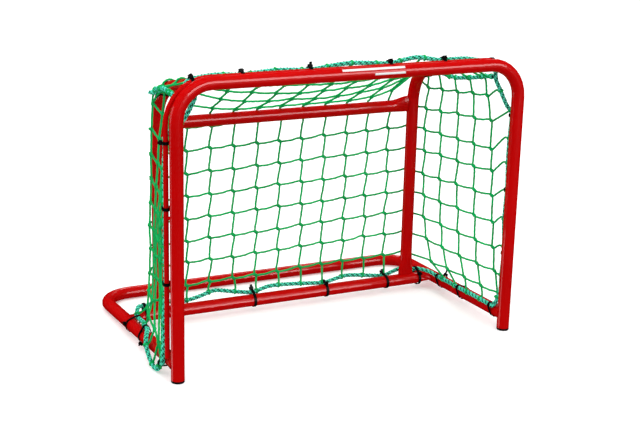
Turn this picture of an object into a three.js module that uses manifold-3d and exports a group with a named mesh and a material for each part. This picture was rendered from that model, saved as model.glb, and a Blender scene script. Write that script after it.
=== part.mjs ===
// A small street hockey goal: a welded steel tube frame, a lacing bar that the net is tied to, the net with its
// border rope, and the cable ties. Millimetres, +Z up. The goal stands on its two post caps and its back bar.
// The mouth faces -Y. Everything is drawn with Y counted from the front posts and is then moved so that the
// origin lies on the ground under the middle of the frame.
import * as THREE from "three";
import { mergeVertices } from "three/addons/utils/BufferGeometryUtils.js";
import Module from "manifold-3d";

const wasm = await Module();
wasm.setup();

// ---------------------------------------------------------------- driving dimensions
const HEIGHT = 600; // ground to the top of the crossbar
const TUBE_RADIUS = 13.45; // 26.9 mm tube, 3/4 inch nominal
const TUBE_WALL = 1.5;
const POST_X = 375; // post axis to the middle of the goal
const BEND_RADIUS = 70; // centreline radius of the front and base corners
const CAP_HEIGHT = 5; // visible rim of the post cap
const CAP_SHANK_RADIUS = 11.1;
const CAP_SHANK_HEIGHT = 22;

const BASE_DEPTH = 492; // front post axis to back bar axis
const BASE_FRONT_Z = 35; // base tube axis above the ground at the posts
const BASE_BACK_X = 385; // the base is a little wider at the back

const UPRIGHT_X = 305;
const UPRIGHT_Y = 314; // rear uprights, rear bar and lower bar share this depth
const UPRIGHT_KNEE_Z = 519; // where the upright's two straight stretches would meet
const UPRIGHT_BEND_RADIUS = 90;
const LEG_END = [260, 10, 585]; // the sloping leg ends in the back of the crossbar
const REAR_BAR_Z = 443;
const LOWER_BAR_Z = 23.6;

const LACING_RADIUS = 5; // 10 mm rod
const LACING_OUT = 14; // the rod runs outside the posts,
const LACING_BACK = 20; // behind them,
const LACING_UP = 7; // and a little above the crossbar axis
const LACING_FOOT_Z = 45.4;

const NET_THICKNESS = 3;
const ROPE_RADIUS = 5;
const GAP = 0.3; // left between pieces that touch
const ROPE_SEAT = ROPE_RADIUS + 0.7; // rope axis to the surface that it lies on

const TIE_WIDTH = 6.4;
const TIE_BAND = 1.2;
const TIE_SLACK = 0.4; // band to what it holds
const TIE_SUNK = 0.5; // the head into the band, and the strap's end into the head
const TIE_HEAD = [7, 5.6, 8.6]; // along the band, off the band, along the tube
const TIE_STRAIGHT = 7; // a rope is straight this far on each side of a tie

const TUBE_SIDES = 24;
const BORE_SIDES = 12;
const BEND_STEPS = 8; // per bend
const PRESS_STEPS = 5; // stations in a pressed end
const ROPE_STEP = 26; // between stations along a rope

const CROSSBAR_Z = HEIGHT - TUBE_RADIUS;
const LACING_X = POST_X + LACING_OUT;
const LACING_Z = CROSSBAR_Z + LACING_UP;
const LACING_BEND_RADIUS = BEND_RADIUS + LACING_OUT;
const BASE_BACK_Z = TUBE_RADIUS;
const MID_DEPTH = BASE_DEPTH / 2;

const UP = new THREE.Vector3(0, 0, 1);
const ACROSS = new THREE.Vector3(1, 0, 0);
const BACKWARD = new THREE.Vector3(0, 1, 0);
const DEGREE = Math.PI / 180;

const STEEL = { color: 0xc80003, roughness: 0.28, metalness: 0.1 };
const CAP_PLASTIC = { color: 0x0b0b0c, roughness: 0.6, metalness: 0 };
const TIE_PLASTIC = { color: 0x08080a, roughness: 0.45, metalness: 0 };
const NETTING = { color: 0x06a765, roughness: 0.8, metalness: 0 };
const ROPE = { color: 0x3fd39c, roughness: 0.85, metalness: 0 };

// ---------------------------------------------------------------- centrelines
const vec = ([x, y, z]) => new THREE.Vector3(x, y, z);
const mirrored = ([x, y, z]) => [-x, y, z];
const baseX = (y) => POST_X + ((BASE_BACK_X - POST_X) * y) / BASE_DEPTH;
const baseZ = (y) => BASE_FRONT_Z + ((BASE_BACK_Z - BASE_FRONT_Z) * y) / BASE_DEPTH;

// A curve given by stations, each with its own direction, so that a bent tube is cut only where it bends.
class Centreline extends THREE.Curve {
  constructor(stations) {
    super();
    this.stations = stations;
  }
  between(u, key) {
    const last = this.stations.length - 1;
    const i = Math.min(Math.floor(u * last + 1e-9), last - 1);
    return this.stations[i][key].clone().lerp(this.stations[i + 1][key], u * last - i);
  }
  getPoint(u, target = new THREE.Vector3()) {
    return target.copy(this.between(u, "point"));
  }
  getPointAt(u, target) {
    return this.getPoint(u, target);
  }
  getTangentAt(u, target = new THREE.Vector3()) {
    return target.copy(this.between(u, "tangent")).normalize();
  }
}

// Straight stretches through the corners, each corner rounded with the same radius. The first and last few
// centimetres get extra stations where an end is pressed flat.
function bentLine(corners, radius, pressed = [0, 0]) {
  const points = corners.map(vec);
  const directions = points.slice(1).map((p, i) => p.clone().sub(points[i]).normalize());
  const stations = [];
  const add = (point, tangent) => stations.push({ point, tangent });
  const first = directions[0];
  add(points[0], first);
  for (let k = 1; k <= PRESS_STEPS && pressed[0]; k++)
    add(points[0].clone().addScaledVector(first, (pressed[0] * k) / PRESS_STEPS), first);
  for (let i = 1; i < points.length - 1; i++) {
    const [before, after] = [directions[i - 1], directions[i]];
    const turn = before.angleTo(after);
    const inward = after.clone().sub(before).normalize();
    const centre = points[i].clone().addScaledVector(inward, radius / Math.cos(turn / 2));
    const axis = before.clone().cross(after).normalize();
    const start = points[i].clone().addScaledVector(before, -radius * Math.tan(turn / 2)).sub(centre);
    for (let k = 0; k <= BEND_STEPS; k++) {
      const angle = (turn * k) / BEND_STEPS;
      add(start.clone().applyAxisAngle(axis, angle).add(centre), before.clone().applyAxisAngle(axis, angle));
    }
  }
  const last = directions[directions.length - 1];
  for (let k = PRESS_STEPS; k >= 1 && pressed[1]; k--)
    add(points[points.length - 1].clone().addScaledVector(last, (-pressed[1] * k) / PRESS_STEPS), last);
  add(points[points.length - 1], last);
  return new Centreline(stations);
}

// ---------------------------------------------------------------- shapes
function circle(radius, sides) {
  return Array.from({ length: sides }, (_, i) => {
    const a = ((i + 0.5) / sides) * 2 * Math.PI;
    return new THREE.Vector2(radius * Math.cos(a), radius * Math.sin(a));
  });
}

function sweep(section, curve, steps) {
  return new THREE.ExtrudeGeometry(section, { steps, bevelEnabled: false, extrudePath: curve });
}

function tube(line) {
  const section = new THREE.Shape(circle(TUBE_RADIUS, TUBE_SIDES));
  section.holes.push(new THREE.Path(circle(TUBE_RADIUS - TUBE_WALL, BORE_SIDES)));
  return sweep(section, line, line.stations.length - 1);
}

// Presses the last stretch of a tube flat, as its welded ends are. `inward` runs from the end into the tube.
function pressEnd(geometry, end, inward, thin, { length, thinness, width, shift = 0 }) {
  const wide = inward.clone().cross(thin).normalize();
  const position = geometry.getAttribute("position");
  for (let i = 0; i < position.count; i++) {
    const offset = new THREE.Vector3().fromBufferAttribute(position, i).sub(end);
    const along = offset.dot(inward);
    if (along >= length) continue;
    const s = THREE.MathUtils.smoothstep(1 - along / length, 0, 1);
    const a = offset.dot(thin) * (1 + (thinness - 1) * s) + shift * s;
    const b = offset.dot(wide) * (1 + (width - 1) * s);
    offset.copy(inward).multiplyScalar(along).addScaledVector(thin, a).addScaledVector(wide, b).add(end);
    position.setXYZ(i, offset.x, offset.y, offset.z);
  }
  return geometry;
}

function toSolid(geometry) {
  const bare = new THREE.BufferGeometry().setAttribute("position", geometry.getAttribute("position"));
  if (geometry.index) bare.setIndex(geometry.index);
  const merged = mergeVertices(bare, 1e-4);
  return new wasm.Manifold(
    new wasm.Mesh({
      numProp: 3,
      vertProperties: merged.getAttribute("position").array,
      triVerts: new Uint32Array(merged.index.array),
    }),
  );
}

function toGeometry(solid) {
  const mesh = solid.getMesh();
  return new THREE.BufferGeometry()
    .setAttribute("position", new THREE.BufferAttribute(new Float32Array(mesh.vertProperties), 3))
    .setIndex(new THREE.BufferAttribute(new Uint32Array(mesh.triVerts), 1));
}

const cutAway = (geometry, ...cutters) =>
  toGeometry(cutters.reduce((solid, cutter) => solid.subtract(toSolid(cutter)), toSolid(geometry)));

// A straight round bar between two points.
function bar(from, to, radius, sides = TUBE_SIDES) {
  return sweep(new THREE.Shape(circle(radius, sides)), new THREE.LineCurve3(from, to), 1);
}

// A thin panel with four corners, thick along `normal`.
function panel(corners, normal) {
  const half = vec(normal).normalize().multiplyScalar(NET_THICKNESS / 2);
  const points = corners.map(vec);
  const positions = [-1, 1].flatMap((side) =>
    points.flatMap((p) => p.clone().addScaledVector(half, side).toArray()),
  );
  const index = [0, 2, 1, 0, 3, 2, 4, 5, 6, 4, 6, 7];
  for (let i = 0; i < 4; i++) {
    const j = (i + 1) % 4;
    index.push(i, j, j + 4, i, j + 4, i + 4);
  }
  return new THREE.BufferGeometry()
    .setAttribute("position", new THREE.Float32BufferAttribute(positions, 3))
    .setIndex(index);
}

const goal = new THREE.Group();
goal.position.y = -MID_DEPTH;

function add(name, geometry, finish) {
  geometry.computeVertexNormals();
  const mesh = new THREE.Mesh(geometry, new THREE.MeshStandardMaterial(finish));
  mesh.name = name;
  goal.add(mesh);
}

const SIDES = [
  ["left", -1],
  ["right", 1],
];

// ---------------------------------------------------------------- welded frame
const postFoot = CAP_HEIGHT + GAP;
const frontLine = bentLine(
  [
    [-POST_X, 0, postFoot],
    [-POST_X, 0, CROSSBAR_Z],
    [POST_X, 0, CROSSBAR_Z],
    [POST_X, 0, postFoot],
  ],
  BEND_RADIUS,
);

// A plug with a shank inside the post and a rim as wide as the tube, flat underneath with a rounded edge.
function postCap(side) {
  const edge = 2;
  const taper = 0.8;
  const profile = [
    new THREE.Vector2(0, 0),
    new THREE.Vector2(TUBE_RADIUS - edge, 0),
    new THREE.Vector2(TUBE_RADIUS - edge * 0.3, edge * 0.3),
    new THREE.Vector2(TUBE_RADIUS, edge),
    new THREE.Vector2(TUBE_RADIUS, CAP_HEIGHT),
    new THREE.Vector2(CAP_SHANK_RADIUS, CAP_HEIGHT),
    new THREE.Vector2(CAP_SHANK_RADIUS - taper, CAP_HEIGHT + CAP_SHANK_HEIGHT),
    new THREE.Vector2(0, CAP_HEIGHT + CAP_SHANK_HEIGHT),
  ];
  return new THREE.LatheGeometry(profile, TUBE_SIDES).rotateX(Math.PI / 2).translate(side * POST_X, 0, 0);
}

// The U on the ground: coped to the posts in front, lying on the ground at the back.
const baseStart = 3;
const baseLine = bentLine(
  [
    [-baseX(baseStart), baseStart, baseZ(baseStart)],
    [-BASE_BACK_X, BASE_DEPTH, BASE_BACK_Z],
    [BASE_BACK_X, BASE_DEPTH, BASE_BACK_Z],
    [baseX(baseStart), baseStart, baseZ(baseStart)],
  ],
  BEND_RADIUS,
);

function baseFrame() {
  const posts = SIDES.map(([, s]) =>
    bar(vec([s * POST_X, 0, 0]), vec([s * POST_X, 0, 2 * BASE_FRONT_Z]), TUBE_RADIUS + GAP),
  );
  return cutAway(tube(baseLine), ...posts);
}

// Stands on the lower bar with a pressed foot, bends over and runs up to the crossbar with a pressed tip.
const footLength = 58;
const tipLength = 60;
const uprightCorners = (side) => [
  [side * UPRIGHT_X, UPRIGHT_Y, LOWER_BAR_Z + TUBE_RADIUS - 2],
  [side * UPRIGHT_X, UPRIGHT_Y, UPRIGHT_KNEE_Z],
  [side * LEG_END[0], LEG_END[1], LEG_END[2]],
];
const uprightLine = (side) => bentLine(uprightCorners(side), UPRIGHT_BEND_RADIUS, [footLength, tipLength]);

function rearUpright(side) {
  const [foot, knee, tip] = uprightCorners(side);
  const geometry = tube(uprightLine(side));
  const back = vec(knee).sub(vec(tip)).normalize();
  const sideways = UP.clone().cross(back).normalize();
  const over = back.clone().cross(sideways).normalize();
  pressEnd(geometry, vec(foot), UP, BACKWARD, { length: footLength, thinness: 0.32, width: 1.42 });
  pressEnd(geometry, vec(tip), back, over, { length: tipLength, thinness: 0.3, width: 1.42 });
  const cutters = [
    [UPRIGHT_Y, LOWER_BAR_Z],
    [0, CROSSBAR_Z],
  ].map(([y, z]) => bar(vec([-BASE_BACK_X, y, z]), vec([BASE_BACK_X, y, z]), TUBE_RADIUS + GAP));
  return cutAway(geometry, ...cutters);
}

// A bar along X whose two ends are pressed flat; `thin` is the direction that gets thinner.
const crossLine = (halfLength, z, pressed) =>
  bentLine(
    [
      [-halfLength, UPRIGHT_Y, z],
      [halfLength, UPRIGHT_Y, z],
    ],
    0,
    [pressed, pressed],
  );

function crossTube(line, thin, press) {
  const { stations } = line;
  const geometry = tube(line);
  pressEnd(geometry, stations[0].point, ACROSS, thin, press);
  return pressEnd(geometry, stations[stations.length - 1].point, ACROSS.clone().negate(), thin, press);
}

// Its ends widen upwards where they meet the uprights.
function rearTopBar() {
  const ends = { length: 44, thinness: 0.45, width: 1.36 };
  const line = crossLine(UPRIGHT_X - TUBE_RADIUS - GAP, REAR_BAR_Z, ends.length);
  const geometry = crossTube(line, BACKWARD, ends);
  const position = geometry.getAttribute("position");
  const lift = 3.5;
  const start = UPRIGHT_X - TUBE_RADIUS - ends.length;
  for (let i = 0; i < position.count; i++) {
    const s = THREE.MathUtils.smoothstep(Math.abs(position.getX(i)), start, start + ends.length);
    position.setZ(i, position.getZ(i) + lift * s);
  }
  return geometry;
}

// Its ends are blades against the inside of the base tube.
const lowerBarEnds = { length: 44, thinness: 0.27, width: 1.45, shift: -2.6 };
const lowerBarLine = crossLine(baseX(UPRIGHT_Y) - TUBE_RADIUS + 1.5, LOWER_BAR_Z, lowerBarEnds.length);

function lowerBar() {
  const baseTubes = SIDES.map(([, s]) =>
    bar(vec([s * POST_X, 0, BASE_FRONT_Z]), vec([s * BASE_BACK_X, BASE_DEPTH, BASE_BACK_Z]), TUBE_RADIUS + GAP),
  );
  return cutAway(crossTube(lowerBarLine, UP, lowerBarEnds), ...baseTubes);
}

// A rod round the outside and the back of the front frame, with three short lugs to the frame.
const lacingLine = bentLine(
  [
    [-LACING_X, LACING_BACK, LACING_FOOT_Z],
    [-LACING_X, LACING_BACK, LACING_Z],
    [LACING_X, LACING_BACK, LACING_Z],
    [LACING_X, LACING_BACK, LACING_FOOT_Z],
  ],
  LACING_BEND_RADIUS,
);

function lacingBar() {
  const lugRadius = 3.5;
  const lugZ = 330;
  const lugs = [
    bar(vec([-LACING_X, LACING_BACK, lugZ]), vec([-POST_X, 0, lugZ]), lugRadius, 10),
    bar(vec([LACING_X, LACING_BACK, lugZ]), vec([POST_X, 0, lugZ]), lugRadius, 10),
    bar(vec([0, LACING_BACK, LACING_Z]), vec([0, 0, CROSSBAR_Z]), lugRadius, 10),
  ];
  const frame = [
    bar(vec([-POST_X, 0, lugZ - 20]), vec([-POST_X, 0, lugZ + 20]), TUBE_RADIUS + GAP),
    bar(vec([POST_X, 0, lugZ - 20]), vec([POST_X, 0, lugZ + 20]), TUBE_RADIUS + GAP),
    bar(vec([-20, 0, CROSSBAR_Z]), vec([20, 0, CROSSBAR_Z]), TUBE_RADIUS + GAP),
  ];
  const steps = lacingLine.stations.length - 1;
  const rod = sweep(new THREE.Shape(circle(LACING_RADIUS, 12)), lacingLine, steps);
  const joined = lugs.reduce((solid, lug) => solid.add(toSolid(lug)), toSolid(rod));
  return toGeometry(frame.reduce((solid, piece) => solid.subtract(toSolid(piece)), joined));
}

add("front_frame", tube(frontLine), STEEL);
SIDES.forEach(([name, s]) => add(name + "_post_cap", postCap(s), CAP_PLASTIC));
add("base_frame", baseFrame(), STEEL);
SIDES.forEach(([name, s]) => add(name + "_rear_upright", rearUpright(s), STEEL));
add("rear_top_bar", rearTopBar(), STEEL);
add("lower_bar", lowerBar(), STEEL);
add("lacing_bar", lacingBar(), STEEL);

// ---------------------------------------------------------------- net
// The netting is stretched from the lacing bar over the rear bar and down to the lower bar and the base.
const backNetY = UPRIGHT_Y + TUBE_RADIUS + 4;
const netBottomZ = 60;
const netTopRearZ = REAR_BAR_Z + TUBE_RADIUS + 3;

add(
  "net_back",
  panel(
    [
      [-318, backNetY, netBottomZ],
      [318, backNetY, netBottomZ],
      [318, backNetY, netTopRearZ - 4],
      [-318, backNetY, netTopRearZ - 4],
    ],
    [0, -1, 0],
  ),
  NETTING,
);

const netTopFront = [238, 40, 584];
const netTopRear = [284, 326, 465];
add(
  "net_top",
  panel(
    [
      mirrored(netTopFront),
      netTopFront,
      netTopRear,
      mirrored(netTopRear),
    ],
    [0, netTopFront[2] - netTopRear[2], netTopRear[1] - netTopFront[1]],
  ),
  NETTING,
);

const netSideSlope = 0.2; // the sides of the net draw in towards the uprights
const netSideX = (y) => 386 - netSideSlope * (y - 42);
const netSideCorners = [
  [42, netBottomZ + 3],
  [300, netBottomZ],
  [276, 497],
  [42, 536],
].map(([y, z]) => [netSideX(y), y, z]);
add("net_right_side", panel(netSideCorners, [1, netSideSlope, 0]), NETTING);
add("net_left_side", panel(netSideCorners.map(mirrored).reverse(), [-1, netSideSlope, 0]), NETTING);

// ---------------------------------------------------------------- cable ties
// The outline of a band drawn tight round one round bar, or round two whose axes are `apart` along +x. Its flats
// touch the circles, so that it clears what it holds.
function bandOutline(radius, otherRadius, apart) {
  if (!apart) return circle(radius / Math.cos(Math.PI / 16), 16);
  const spread = Math.acos((radius - otherRadius) / apart);
  const arc = (cx, r, from, to, segments) => {
    const reach = r / Math.cos((to - from) / segments / 2);
    return Array.from({ length: segments + 1 }, (_, i) => {
      const a = from + ((to - from) * i) / segments;
      return new THREE.Vector2(cx + reach * Math.cos(a), reach * Math.sin(a));
    });
  };
  return [...arc(apart, otherRadius, -spread, spread, 5), ...arc(0, radius, spread, 2 * Math.PI - spread, 9)];
}

// A band round a bar and a rope, its head, and the cut end of the strap. `seat` says where the bar is and which
// way the rope lies from it; `headTurn` is the head's place round the band, in degrees from the rope. A head within
// 45 degrees of the rope sits on the rope's end of the band.
function cableTie({ point, tangent, towards, radius, apart, headTurn, tail }) {
  const inner = [radius + TIE_SLACK, ROPE_RADIUS + TIE_SLACK];
  const outer = inner.map((r) => r + TIE_BAND);
  const band = new THREE.Shape(bandOutline(outer[0], outer[1], apart));
  band.holes.push(new THREE.Path(bandOutline(inner[0], inner[1], apart)));
  const ring = new THREE.ExtrudeGeometry(band, { depth: TIE_WIDTH, steps: 1, bevelEnabled: false });
  ring.translate(0, 0, -TIE_WIDTH / 2);
  const slim = radius < TUBE_RADIUS;
  const onRope = Math.abs(headTurn) < 45;
  const reach = (slim || onRope ? outer[1] : outer[0]) - TIE_SUNK;
  const centre = onRope ? apart : slim ? apart / 2 : 0;
  const head = new THREE.BoxGeometry(TIE_HEAD[1], TIE_HEAD[0], TIE_HEAD[2]);
  head.translate(reach + TIE_HEAD[1] / 2, 0, 0);
  const strap = new THREE.BoxGeometry(tail + 2 * TIE_SUNK, TIE_BAND, TIE_WIDTH * 0.9);
  strap.translate(reach + TIE_HEAD[1] + tail / 2 - TIE_SUNK, TIE_HEAD[0] / 5, 0);
  [head, strap].forEach((piece) => piece.rotateZ(headTurn * DEGREE).translate(centre, 0, 0));
  const joined = toGeometry([head, strap].reduce((solid, g) => solid.add(toSolid(g)), toSolid(ring)));
  const across = tangent.clone().cross(towards);
  return joined.applyMatrix4(new THREE.Matrix4().makeBasis(towards, across, tangent).setPosition(point));
}

// The place on a bar where one coordinate has the given value, on the left (-1) or the right (1) of the goal.
function placeOn(line, key, value, side) {
  const { stations } = line;
  const i = stations.findIndex(
    ({ point }, k) =>
      k < stations.length - 1 &&
      Math.sign(point.x + stations[k + 1].point.x) * side >= 0 &&
      (point[key] - value) * (stations[k + 1].point[key] - value) <= 0,
  );
  const [from, to] = [stations[i].point, stations[i + 1].point];
  const point = from.clone().lerp(to, (value - from[key]) / (to[key] - from[key]));
  return { point, tangent: to.clone().sub(from).normalize() };
}

// The direction away from a bar at `turn` degrees from the reference direction.
function awayFrom({ tangent }, reference, turn) {
  const first = reference.clone().addScaledVector(tangent, -reference.dot(tangent)).normalize();
  const second = tangent.clone().cross(first);
  return first.multiplyScalar(Math.cos(turn * DEGREE)).addScaledVector(second, Math.sin(turn * DEGREE));
}

// The bars that the net is tied to. A rope's place round a bar is an angle: round the lacing bar from the back
// towards the outside of the frame, round the base from the top towards the inside of the goal, round the lower
// bar from the top towards the front, round an upright from the top towards the goal's left.
const lacing = { line: lacingLine, reference: BACKWARD, radius: LACING_RADIUS };
const base = { line: baseLine, reference: UP, radius: TUBE_RADIUS };
const low = { line: lowerBarLine, reference: UP, radius: TUBE_RADIUS };
const lowEnd = { line: lowerBarLine, reference: UP, radius: TUBE_RADIUS + 1.4 }; // where the bar starts to widen
const legRadius = TUBE_RADIUS + 0.4; // the ties on the legs sit on a bend
const leftLeg = { line: uprightLine(-1), reference: UP, radius: legRadius };
const rightLeg = { line: uprightLine(1), reference: UP, radius: legRadius };

// name: [bar, coordinate, value, side, turn of the rope, turn of the head, length of the strap's end]
const TIES = {
  crossbar_1: [lacing, "x", -335, -1, 6, 90, 3],
  crossbar_2: [lacing, "x", -236, -1, -4, 90, 1],
  crossbar_3: [lacing, "x", -93, -1, 5, 90, 6],
  crossbar_4: [lacing, "x", 82, 1, 22, 90, 3],
  crossbar_5: [lacing, "x", 206, 1, 22, 90, 3],
  crossbar_6: [lacing, "x", 319, 1, -20, -90, 1],
  left_post_1: [lacing, "z", 475, -1, -12, 90, 3],
  left_post_2: [lacing, "z", 347, -1, -8, -90, 3],
  left_post_3: [lacing, "z", 197, -1, -8, -90, 3],
  right_post_1: [lacing, "z", 472, 1, -62, 90, 3],
  right_post_2: [lacing, "z", 310, 1, -62, 90, 3],
  right_post_3: [lacing, "z", 165, 1, -20, 90, 3],
  lower_bar_1: [lowEnd, "x", -336, -1, -34, 75, 3],
  lower_bar_2: [low, "x", -83, -1, -34, 10, 5],
  lower_bar_3: [low, "x", 96, 1, -40, 50, 3],
  lower_bar_4: [low, "x", 252, 1, -55, 35, 3],
  lower_bar_5: [lowEnd, "x", 337, 1, -30, 75, 3],
  right_base_1: [base, "y", 266, 1, 45, -70, 12],
  right_base_2: [base, "y", 171, 1, 45, -150, 3],
  right_base_3: [base, "y", 33, 1, 45, -150, 3],
  left_base_1: [base, "y", 268, -1, 45, -115, 5],
  left_base_2: [base, "y", 187, -1, 6, -150, 3],
  left_base_3: [base, "y", 46, -1, -112, -75, 3],
  left_seam: [leftLeg, "z", 526, -1, 100, 40, 3],
  right_seam: [rightLeg, "z", 536, 1, -100, -165, 3],
};

const seats = Object.fromEntries(
  Object.entries(TIES).map(([name, [bar, key, value, side, turn, headTurn, tail]]) => {
    const place = placeOn(bar.line, key, value, side);
    const towards = awayFrom(place, bar.reference, turn);
    const apart = bar.radius + ROPE_SEAT;
    return [name, { ...place, towards, radius: bar.radius, apart, headTurn, tail }];
  }),
);
Object.entries(seats).forEach(([name, seat]) => add("tie_" + name, cableTie(seat), TIE_PLASTIC));

// ---------------------------------------------------------------- border rope
// The rope is sewn into the edge of the net. A tie holds it straight beside the bar; between the ties it stands
// off a little. `direction` is 1 where the rope runs the same way as the bar.
function through(name, direction) {
  const { point, tangent, towards, apart } = seats[name];
  const middle = point.clone().addScaledVector(towards, apart);
  return [-1, 0, 1].map((k) => middle.clone().addScaledVector(tangent, k * direction * TIE_STRAIGHT));
}

function near(bar, key, value, side, turn, lift) {
  const place = placeOn(bar.line, key, value, side);
  return place.point.addScaledVector(awayFrom(place, bar.reference, turn), bar.radius + ROPE_SEAT + lift);
}

// A rope through the points, with its steps set so that it is straight in every tie.
function ropeLine(points, closed) {
  const curve = new THREE.CatmullRomCurve3(points, closed, "centripetal");
  const spans = closed ? points.length : points.length - 1;
  const stations = [];
  for (let i = 0; i < spans; i++) {
    const next = points[(i + 1) % points.length];
    const steps = Math.max(1, Math.round(points[i].distanceTo(next) / ROPE_STEP));
    for (let k = 0; k < steps; k++) {
      const u = (i + k / steps) / spans;
      stations.push({ point: curve.getPoint(u), tangent: curve.getTangent(u), span: i });
    }
  }
  if (!closed) stations.push({ point: curve.getPoint(1), tangent: curve.getTangent(1), span: spans });
  return stations;
}

function rope(stations) {
  const line = new Centreline(stations);
  return sweep(new THREE.Shape(circle(ROPE_RADIUS, 8)), line, stations.length - 1);
}

// Clockwise seen from the mouth: up the left post, along the crossbar, down the right post, back along the right
// side of the base, along the lower bar, and forward along the left side of the base.
const held = [
  ...through("left_base_3", -1),
  new THREE.Vector3(-395.2, 30.5, 41),
  new THREE.Vector3(-394.4, 29.8, 55),
  new THREE.Vector3(-391.8, 31.2, 76),
  new THREE.Vector3(-391.2, 33.4, 105),
  new THREE.Vector3(-388, 32.6, 165),
  ...through("left_post_3", 1),
  near(lacing, "z", 270, -1, -6, 2),
  ...through("left_post_2", 1),
  near(lacing, "z", 410, -1, -6, 2),
  ...through("left_post_1", 1),
  new THREE.Vector3(-378, 31, 494),
  new THREE.Vector3(-361, 31.5, 503),
  new THREE.Vector3(-345, 31.5, 520),
  new THREE.Vector3(-333, 31.5, 541),
  new THREE.Vector3(-326.5, 31.5, 556),
  new THREE.Vector3(-330, 32, 567),
  new THREE.Vector3(-338, 32, 572.5),
  new THREE.Vector3(-345.5, 31.5, 578),
  ...through("crossbar_1", 1),
  near(lacing, "x", -285, -1, 8, 1),
  ...through("crossbar_2", 1),
  near(lacing, "x", -165, -1, 15, 2),
  ...through("crossbar_3", 1),
  near(lacing, "x", -5, -1, 38, 3.5),
  ...through("crossbar_4", 1),
  near(lacing, "x", 145, 1, 54, 5),
  ...through("crossbar_5", 1),
  near(lacing, "x", 262, 1, 18, 1.5),
  ...through("crossbar_6", 1),
  new THREE.Vector3(334, 31, 582),
  new THREE.Vector3(336.5, 31.5, 567),
  new THREE.Vector3(340, 31.5, 547),
  new THREE.Vector3(349, 31.5, 531),
  new THREE.Vector3(360, 31.5, 510),
  new THREE.Vector3(371.5, 31, 490),
  ...through("right_post_1", 1),
  near(lacing, "z", 395, 1, -62, 2),
  ...through("right_post_2", 1),
  near(lacing, "z", 240, 1, -40, 2),
  ...through("right_post_3", 1),
  near(lacing, "z", 115, 1, -30, 1.5),
  new THREE.Vector3(381.5, 28, 82),
  new THREE.Vector3(376, 26, 65),
  new THREE.Vector3(368, 24.5, 55),
  ...through("right_base_3", -1),
  near(base, "y", 112, 1, 45, 2.5),
  ...through("right_base_2", -1),
  near(base, "y", 225, 1, 45, 1.5),
  ...through("right_base_1", -1),
  new THREE.Vector3(360.5, 296, 40.5),
  new THREE.Vector3(354, 313, 40.5),
  ...through("lower_bar_5", -1),
  near(low, "x", 303, 1, -45, 9),
  ...through("lower_bar_4", -1),
  near(low, "x", 200, 1, -52, 7),
  near(low, "x", 155, 1, -40, 9),
  ...through("lower_bar_3", -1),
  near(low, "x", 48, 1, -34, 3),
  near(low, "x", 8, 1, -30, 6),
  near(low, "x", -42, -1, -28, 7),
  ...through("lower_bar_2", -1),
  near(low, "x", -132, -1, -28, 7),
  near(low, "x", -172, -1, -30, 14),
  near(low, "x", -206, -1, -34, 6),
  near(low, "x", -250, -1, -50, 2),
  near(low, "x", -300, -1, -45, 9),
  ...through("lower_bar_1", -1),
  new THREE.Vector3(-352, 313, 44.5),
  new THREE.Vector3(-361, 294, 43.5),
  ...through("left_base_1", -1),
  near(base, "y", 225, -1, 34, 1),
  ...through("left_base_2", -1),
];
// The free loop beside the left end of the base, down to the ground and up again.
const slack = [
  new THREE.Vector3(-384, 160, 47.5),
  new THREE.Vector3(-393, 138, 46.5),
  new THREE.Vector3(-400, 119, 38.5),
  new THREE.Vector3(-401, 103, 25),
  new THREE.Vector3(-400, 87, 12.5),
  new THREE.Vector3(-398, 70, 6.4),
  new THREE.Vector3(-395.5, 56, 9.6),
];

const perimeter = ropeLine([...held, ...slack], true);
const middleOfTie = (spanIndex) => perimeter.findIndex(({ span }) => span === spanIndex);
const [endAtFoot, endAtLoop] = [1, held.length - 2].map(middleOfTie);
const nudged = ({ point, tangent }, by) => ({ point: point.clone().addScaledVector(tangent, by), tangent });
const cut = (stations) => [
  nudged(stations[0], GAP / 2),
  ...stations.slice(1, -1),
  nudged(stations[stations.length - 1], -GAP / 2),
];
add("border_rope", rope(cut(perimeter.slice(endAtFoot, endAtLoop + 1))), ROPE);
add(
  "border_rope_free_loop",
  rope(cut([...perimeter.slice(endAtLoop), ...perimeter.slice(0, endAtFoot + 1)])),
  ROPE,
);

// Two short ropes, from the border rope at the front corners over the legs to the uprights' bends, where the top
// and the sides of the net meet.
function seamRope(tie, points, end) {
  return rope(ropeLine([...points.map(vec), ...through(tie, -1), vec(end)], false));
}

const leftSeam = [
  [-334, 42.5, 543],
  [-339, 68, 546],
  [-345, 101, 548],
  [-349, 126, 552],
  [-347, 169, 549],
  [-338, 231, 531],
];
const rightSeam = [
  [338.5, 42.5, 553],
  [347, 62, 550],
  [352, 100, 543],
  [353, 128, 536],
  [350, 165, 529],
  [343, 197, 524],
];
add("left_seam_rope", seamRope("left_seam", leftSeam, [-325, 299, 514]), ROPE);
add("right_seam_rope", seamRope("right_seam", rightSeam, [325, 299, 514]), ROPE);

export default goal;
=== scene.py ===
import math
import random

import bmesh
import bpy
import numpy as np
from mathutils import Matrix, Vector


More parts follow.
